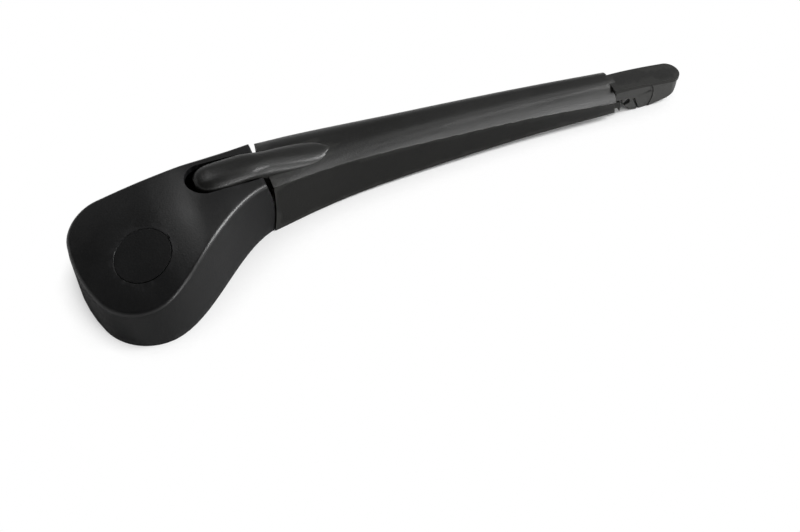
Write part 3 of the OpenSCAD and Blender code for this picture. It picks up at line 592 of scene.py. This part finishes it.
for name, mat, width in [
    ("nut_cover", cover_mat, 0.0005), ("spindle_insert", zinc_mat, 0.00015),
    ("hinge_pin", pin_mat, 0.0003), ("hook_pin", pin_mat, 0.0003), ("spring_anchor", pin_mat, 0.0003),
    ("hinge_clip", clip_mat, 0.0001), ("spring_hook", hook_mat, 0.00025)]:
    dress(nodes[name], mat)
    soften(nodes[name], width)
    shade(nodes[name])

smooth_copy("head_housing", "head", head_mat, [head_reference()],
            width=0.0002, wide=0.0005, pick=on_recess_rim,
            cuts=[(ACROSS_X, 0.0025), (ACROSS_Y, 0.0025), (ACROSS_Z, 0.002)])
smooth_copy("arm_shell", "arm", arm_mat,
            [arm_reference("top"), arm_reference("near"), arm_reference("far"), finger_reference()],
            width=0.0002, wide=0.00042, pick=on_ridge,
            cuts=[(ACROSS_X, 0.004), (ACROSS_Y, 0.003), (ACROSS_RIDGE, 0.002)])
smooth_copy("blade_holder", "arm", holder_mat, [], width=0.0001, wide=0.0007, pick=on_nose_edge)

# Tension spring as a real coil with a loop at each end, in millimetres and degrees
SPRING_START, SPRING_YAW, SPRING_PITCH = Vector((75.232, 30.3, 14.3)), 2.62234, 4.83313
SPRING_LENGTH, WIRE, COIL_R, EYE_R, COIL_INSET, COIL_TURNS = 57.03, 1.5, 3.45, 2.8, 5.75, 29
TURN_STEPS = 20


def tube(name, path, radius, sides=10):
    """A round wire along the path."""
    bm = bmesh.new()
    rings = []
    side = None
    for i, p in enumerate(path):
        ahead = (path[min(i + 1, len(path) - 1)] - path[max(i - 1, 0)]).normalized()
        if side is None:
            side = ahead.orthogonal().normalized()
        side = (side - ahead * side.dot(ahead)).normalized()
        other = ahead.cross(side)
        rings.append([bm.verts.new(p + radius * (math.cos(a) * side + math.sin(a) * other))
                      for a in (2 * math.pi * k / sides for k in range(sides))])
    for a, b in zip(rings, rings[1:]):
        for k in range(sides):
            bm.faces.new((a[k], a[(k + 1) % sides], b[(k + 1) % sides], b[k]))
    bm.faces.new(list(reversed(rings[0])))
    bm.faces.new(rings[-1])
    mesh = bpy.data.meshes.new(name)
    bm.to_mesh(mesh)
    bm.free()
    for p in mesh.polygons:
        p.use_smooth = True
    obj = bpy.data.objects.new(name, mesh)
    bpy.context.scene.collection.objects.link(obj)
    return obj


def spring():
    turn = Matrix.Rotation(math.radians(SPRING_YAW), 3, "Z") @ Matrix.Rotation(math.radians(SPRING_PITCH), 3, "Y")
    path = []
    for i in range(13):
        a = math.radians(150 - 270 * i / 12)
        path.append(Vector((0.85 - 1.14 * math.cos(a), 0, 1.425 * math.sin(a))))
    path.append(Vector((3.6, 0.4, -1.6)))
    for i in range(COIL_TURNS * TURN_STEPS + 1):
        a = 2 * math.pi * i / TURN_STEPS - math.pi / 2
        x = mix(COIL_INSET, SPRING_LENGTH - COIL_INSET, i / (COIL_TURNS * TURN_STEPS))
        path.append(Vector((x, COIL_R * math.cos(a), COIL_R * math.sin(a))))
    path.append(Vector((SPRING_LENGTH - 4.4, 0.4, -2.6)))
    for i in range(17):
        a = math.radians(215 + 330 * i / 16)
        path.append(Vector((SPRING_LENGTH + EYE_R * math.cos(a), 0.1 + 0.05 * i, EYE_R * math.sin(a))))
    obj = tube("spring_coil", [(SPRING_START + turn @ p) * MM for p in path], WIRE / 2 * MM)
    dress(obj, spring_mat)
    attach(obj, "spring")
    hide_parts("tension_spring")


spring()


# Floor, light and background. WHITE is what the camera sees; the object is lit by the dimmer sky.
WHITE = 1.0
FLOOR_HALF, CONTACT, CONTACT_SPAN = 3.0, 0.04, (0.25, 0.75)
SKY_LOW, SKY_HIGH, SKY_SPAN = 0.6, 0.05, (0.15, 0.6)


def floor():
    """Pale paper, white to the camera except near the object, where its shadow stays."""
    mesh = bpy.data.meshes.new("floor")
    s = FLOOR_HALF
    mesh.from_pydata([(-s, -s, 0), (s, -s, 0), (s, s, 0), (-s, s, 0)], [], [(0, 1, 2, 3)])
    obj = bpy.data.objects.new("floor", mesh)
    bpy.context.scene.collection.objects.link(obj)
    g = Graph("floor_paper")
    g.set(Base_Color=g.ramp(g.noise(3, 2), [(0.3, (0.9, 0.9, 0.9)), (0.7, (0.93, 0.93, 0.93))]), Roughness=0.9)
    path = g.tree.nodes.new("ShaderNodeLightPath")
    white = g.tree.nodes.new("ShaderNodeEmission")
    white.inputs["Strength"].default_value = WHITE
    blend = g.tree.nodes.new("ShaderNodeMixShader")
    seen = g.math("MAXIMUM", path.outputs["Is Camera Ray"], path.outputs["Is Transmission Ray"])
    open_sky = g.tree.nodes.new("ShaderNodeAmbientOcclusion")
    open_sky.inputs["Distance"].default_value = CONTACT
    clear = g.span(open_sky.outputs["AO"], *CONTACT_SPAN, 0, 1)
    g.link(g.math("MULTIPLY", seen, clear), blend.inputs["Fac"])
    g.link(g.bsdf.outputs["BSDF"], blend.inputs[1])
    g.link(white.outputs["Emission"], blend.inputs[2])
    g.link(blend.outputs["Shader"], g.tree.nodes["Material Output"].inputs["Surface"])
    dress(obj, g.mat)


def lamp(name, place, target, size, power, size_y=None):
    data = bpy.data.lights.new(name, "AREA")
    data.energy = power
    data.size = size
    if size_y:
        data.shape = "RECTANGLE"
        data.size_y = size_y
    obj = bpy.data.objects.new(name, data)
    bpy.context.scene.collection.objects.link(obj)
    obj.location = place
    obj.rotation_euler = (Vector(target) - Vector(place)).to_track_quat("-Z", "Y").to_euler()


def world():
    """A white room for the camera; for the object it is dim overhead and brighter round the horizon."""
    w = bpy.data.worlds.new("studio")
    bpy.context.scene.world = w
    w.use_nodes = True
    t = w.node_tree
    back = t.nodes["Background"]
    path = t.nodes.new("ShaderNodeLightPath")
    seen = t.nodes.new("ShaderNodeMath")
    seen.operation = "MAXIMUM"
    t.links.new(path.outputs["Is Camera Ray"], seen.inputs[0])
    t.links.new(path.outputs["Is Transmission Ray"], seen.inputs[1])
    coords = t.nodes.new("ShaderNodeTexCoord")
    split = t.nodes.new("ShaderNodeSeparateXYZ")
    t.links.new(coords.outputs["Generated"], split.inputs["Vector"])
    height = t.nodes.new("ShaderNodeMapRange")
    height.inputs["From Min"].default_value, height.inputs["From Max"].default_value = SKY_SPAN
    height.inputs["To Min"].default_value = SKY_LOW
    height.inputs["To Max"].default_value = SKY_HIGH
    t.links.new(split.outputs["Z"], height.inputs["Value"])
    level = t.nodes.new("ShaderNodeMix")
    level.inputs[3].default_value = WHITE
    t.links.new(seen.outputs[0], level.inputs["Factor"])
    t.links.new(height.outputs["Result"], level.inputs[2])
    t.links.new(level.outputs[0], back.inputs["Strength"])
    back.inputs["Color"].default_value = (1, 1, 1, 1)


aim_camera()
floor()
world()
# Name, place, target, width, power and height of each lamp
lamp("front", (0.92, -1.42, 1.16), (0.1, 0.02, 0.02), 0.5, 7.5, 1.2)
lamp("low", (0.88, -1.8, 0.36), (0.1, 0.02, 0.02), 0.6, 8.0, 0.4)
lamp("side", (1.64, -0.2, 1.14), (0.03, 0.0, 0.02), 0.5, 32.0, 1.2)
lamp("high", (1.07, 0.69, 1.64), (0.07, 0.03, 0.03), 0.5, 2.2)
lamp("top", (-0.04, 1.1, 1.68), (0.02, 0.0, 0.02), 0.5, 2.5)

bpy.context.scene.view_settings.view_transform = "Standard"
